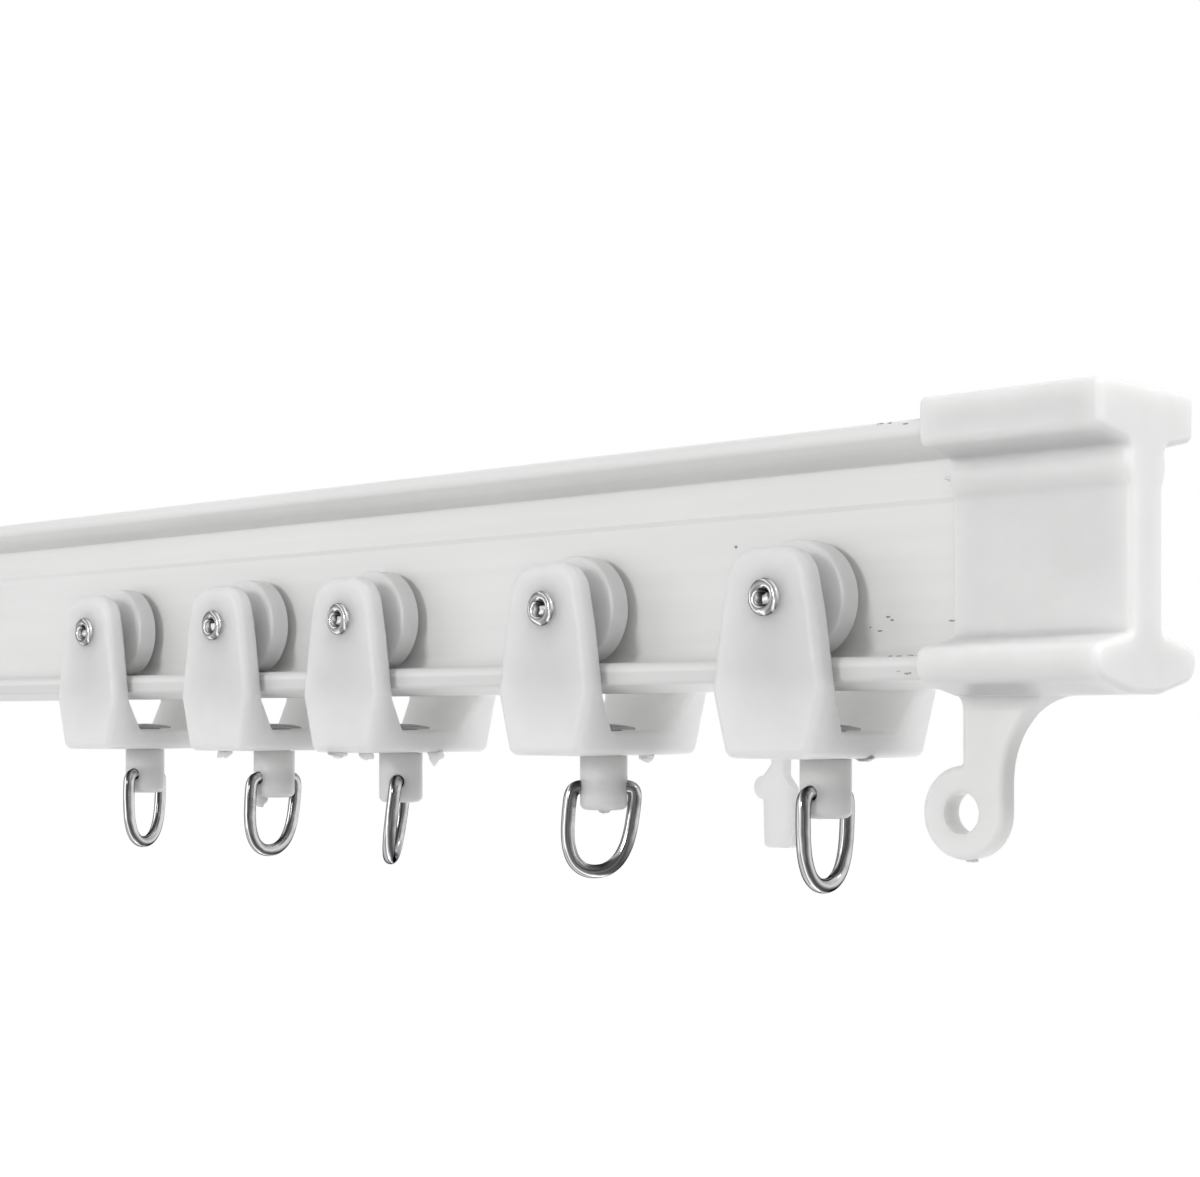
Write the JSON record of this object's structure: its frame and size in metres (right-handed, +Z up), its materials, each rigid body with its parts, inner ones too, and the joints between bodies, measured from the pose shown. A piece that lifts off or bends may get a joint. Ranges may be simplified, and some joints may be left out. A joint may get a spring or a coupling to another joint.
{
  "type": "curtain track",
  "caption": "Straight I-section curtain track with sleeve end caps and roller carriers that hang steel rings from swivel eyes.",
  "frame": {"origin": "middle of the rail's top face, half-way along the track, where brackets clip on", "axes": "+X along the rail to its right end, -Y towards the room, +Z up"},
  "size_m": [0.5, 0.0204, 0.0469],
  "materials": {
    "rail_plastic": "satin extruded",
    "cap_plastic": "satin moulded",
    "carrier_plastic": "satin moulded",
    "roller_plastic": "satin moulded",
    "rivet_steel": "bright plated",
    "ring_steel": "bright plated"
  },
  "bodies": {
    "track": {"rail": "rail_plastic", "end_cap_right": "cap_plastic", "end_cap_left": "cap_plastic"},
    "carrier_1": {"carrier_1_frame": "carrier_plastic", "carrier_1_front_rivet": "rivet_steel", "carrier_1_back_rivet": "rivet_steel"},
    "carrier_1_front_wheel": {"carrier_1_front_roller": "roller_plastic"},
    "carrier_1_back_wheel": {"carrier_1_back_roller": "roller_plastic"},
    "carrier_1_eye": {"carrier_1_swivel_eye": "carrier_plastic"},
    "carrier_1_drop_ring": {"carrier_1_ring": "ring_steel"},
    "carrier_2": {"carrier_2_frame": "carrier_plastic", "carrier_2_front_rivet": "rivet_steel", "carrier_2_back_rivet": "rivet_steel"},
    "carrier_2_front_wheel": {"carrier_2_front_roller": "roller_plastic"},
    "carrier_2_back_wheel": {"carrier_2_back_roller": "roller_plastic"},
    "carrier_2_eye": {"carrier_2_swivel_eye": "carrier_plastic"},
    "carrier_2_drop_ring": {"carrier_2_ring": "ring_steel"},
    "carrier_3": {"carrier_3_frame": "carrier_plastic", "carrier_3_front_rivet": "rivet_steel", "carrier_3_back_rivet": "rivet_steel"},
    "carrier_3_front_wheel": {"carrier_3_front_roller": "roller_plastic"},
    "carrier_3_back_wheel": {"carrier_3_back_roller": "roller_plastic"},
    "carrier_3_eye": {"carrier_3_swivel_eye": "carrier_plastic"},
    "carrier_3_drop_ring": {"carrier_3_ring": "ring_steel"},
    "carrier_4": {"carrier_4_frame": "carrier_plastic", "carrier_4_front_rivet": "rivet_steel", "carrier_4_back_rivet": "rivet_steel"},
    "carrier_4_front_wheel": {"carrier_4_front_roller": "roller_plastic"},
    "carrier_4_back_wheel": {"carrier_4_back_roller": "roller_plastic"},
    "carrier_4_eye": {"carrier_4_swivel_eye": "carrier_plastic"},
    "carrier_4_drop_ring": {"carrier_4_ring": "ring_steel"},
    "carrier_5": {"carrier_5_frame": "carrier_plastic", "carrier_5_front_rivet": "rivet_steel", "carrier_5_back_rivet": "rivet_steel"},
    "carrier_5_front_wheel": {"carrier_5_front_roller": "roller_plastic"},
    "carrier_5_back_wheel": {"carrier_5_back_roller": "roller_plastic"},
    "carrier_5_eye": {"carrier_5_swivel_eye": "carrier_plastic"},
    "carrier_5_drop_ring": {"carrier_5_ring": "ring_steel"}
  },
  "joints": [
    {"name": "carrier_1_slide", "type": "slide", "parent": "track", "child": "carrier_1", "axis": [1, 0, 0], "range_m": [-0.318, 0.0144]},
    {"name": "carrier_1_front_roll", "type": "hinge", "parent": "carrier_1", "child": "carrier_1_front_wheel", "pos_m": [0.0965, -0.0044, -0.01605], "axis": [0, 1, 0], "continuous": true},
    {"name": "carrier_1_back_roll", "type": "hinge", "parent": "carrier_1", "child": "carrier_1_back_wheel", "pos_m": [0.0965, 0.0044, -0.01605], "axis": [0, 1, 0], "continuous": true},
    {"name": "carrier_1_turn", "type": "hinge", "parent": "carrier_1", "child": "carrier_1_eye", "pos_m": [0.0965, 0, -0.0317], "axis": [0, 0, 1], "continuous": true},
    {"name": "carrier_1_swing", "type": "hinge", "parent": "carrier_1_eye", "child": "carrier_1_drop_ring", "pos_m": [0.0965, 0, -0.0352], "axis": [-0.3256, 0.9455, 0], "range_deg": [-80, 80]},
    {"name": "carrier_2_slide", "type": "slide", "parent": "track", "child": "carrier_2", "axis": [1, 0, 0], "range_m": [-0.0144, 0.0104]},
    {"name": "carrier_2_front_roll", "type": "hinge", "parent": "carrier_2", "child": "carrier_2_front_wheel", "pos_m": [0.1251, -0.0044, -0.01605], "axis": [0, 1, 0], "continuous": true},
    {"name": "carrier_2_back_roll", "type": "hinge", "parent": "carrier_2", "child": "carrier_2_back_wheel", "pos_m": [0.1251, 0.0044, -0.01605], "axis": [0, 1, 0], "continuous": true},
    {"name": "carrier_2_turn", "type": "hinge", "parent": "carrier_2", "child": "carrier_2_eye", "pos_m": [0.1251, 0, -0.0317], "axis": [0, 0, 1], "continuous": true},
    {"name": "carrier_2_swing", "type": "hinge", "parent": "carrier_2_eye", "child": "carrier_2_drop_ring", "pos_m": [0.1251, 0, -0.0352], "axis": [0, 1, 0], "range_deg": [-80, 80]},
    {"name": "carrier_3_slide", "type": "slide", "parent": "track", "child": "carrier_3", "axis": [1, 0, 0], "range_m": [-0.0104, 0.0195]},
    {"name": "carrier_3_front_roll", "type": "hinge", "parent": "carrier_3", "child": "carrier_3_front_wheel", "pos_m": [0.1497, -0.0044, -0.01605], "axis": [0, 1, 0], "continuous": true},
    {"name": "carrier_3_back_roll", "type": "hinge", "parent": "carrier_3", "child": "carrier_3_back_wheel", "pos_m": [0.1497, 0.0044, -0.01605], "axis": [0, 1, 0], "continuous": true},
    {"name": "carrier_3_turn", "type": "hinge", "parent": "carrier_3", "child": "carrier_3_eye", "pos_m": [0.1497, 0, -0.0317], "axis": [0, 0, 1], "continuous": true},
    {"name": "carrier_3_swing", "type": "hinge", "parent": "carrier_3_eye", "child": "carrier_3_drop_ring", "pos_m": [0.1497, 0, -0.0352], "axis": [-0.6293, 0.7771, 0], "range_deg": [-80, 80]},
    {"name": "carrier_4_slide", "type": "slide", "parent": "track", "child": "carrier_4", "axis": [1, 0, 0], "range_m": [-0.0195, 0.0164]},
    {"name": "carrier_4_front_roll", "type": "hinge", "parent": "carrier_4", "child": "carrier_4_front_wheel", "pos_m": [0.1834, -0.0044, -0.01605], "axis": [0, 1, 0], "continuous": true},
    {"name": "carrier_4_back_roll", "type": "hinge", "parent": "carrier_4", "child": "carrier_4_back_wheel", "pos_m": [0.1834, 0.0044, -0.01605], "axis": [0, 1, 0], "continuous": true},
    {"name": "carrier_4_turn", "type": "hinge", "parent": "carrier_4", "child": "carrier_4_eye", "pos_m": [0.1834, 0, -0.0317], "axis": [0, 0, 1], "continuous": true},
    {"name": "carrier_4_swing", "type": "hinge", "parent": "carrier_4_eye", "child": "carrier_4_drop_ring", "pos_m": [0.1834, 0, -0.0352], "axis": [0.6947, 0.7193, 0], "range_deg": [-80, 80]},
    {"name": "carrier_5_slide", "type": "slide", "parent": "track", "child": "carrier_5", "axis": [1, 0, 0], "range_m": [-0.0164, 0.0075]},
    {"name": "carrier_5_front_roll", "type": "hinge", "parent": "carrier_5", "child": "carrier_5_front_wheel", "pos_m": [0.214, -0.0044, -0.01605], "axis": [0, 1, 0], "continuous": true},
    {"name": "carrier_5_back_roll", "type": "hinge", "parent": "carrier_5", "child": "carrier_5_back_wheel", "pos_m": [0.214, 0.0044, -0.01605], "axis": [0, 1, 0], "continuous": true},
    {"name": "carrier_5_turn", "type": "hinge", "parent": "carrier_5", "child": "carrier_5_eye", "pos_m": [0.214, 0, -0.0317], "axis": [0, 0, 1], "continuous": true},
    {"name": "carrier_5_swing", "type": "hinge", "parent": "carrier_5_eye", "child": "carrier_5_drop_ring", "pos_m": [0.214, 0, -0.0352], "axis": [0, 1, 0], "range_deg": [-80, 36]}
  ],
  "couplings": [
    {"joint": "carrier_1_front_roll", "follows": "carrier_1_slide", "rad_per_m": 170.94},
    {"joint": "carrier_1_back_roll", "follows": "carrier_1_slide", "rad_per_m": 170.94},
    {"joint": "carrier_2_front_roll", "follows": "carrier_2_slide", "rad_per_m": 170.94},
    {"joint": "carrier_2_back_roll", "follows": "carrier_2_slide", "rad_per_m": 170.94},
    {"joint": "carrier_3_front_roll", "follows": "carrier_3_slide", "rad_per_m": 170.94},
    {"joint": "carrier_3_back_roll", "follows": "carrier_3_slide", "rad_per_m": 170.94},
    {"joint": "carrier_4_front_roll", "follows": "carrier_4_slide", "rad_per_m": 170.94},
    {"joint": "carrier_4_back_roll", "follows": "carrier_4_slide", "rad_per_m": 170.94},
    {"joint": "carrier_5_front_roll", "follows": "carrier_5_slide", "rad_per_m": 170.94},
    {"joint": "carrier_5_back_roll", "follows": "carrier_5_slide", "rad_per_m": 170.94}
  ]
}
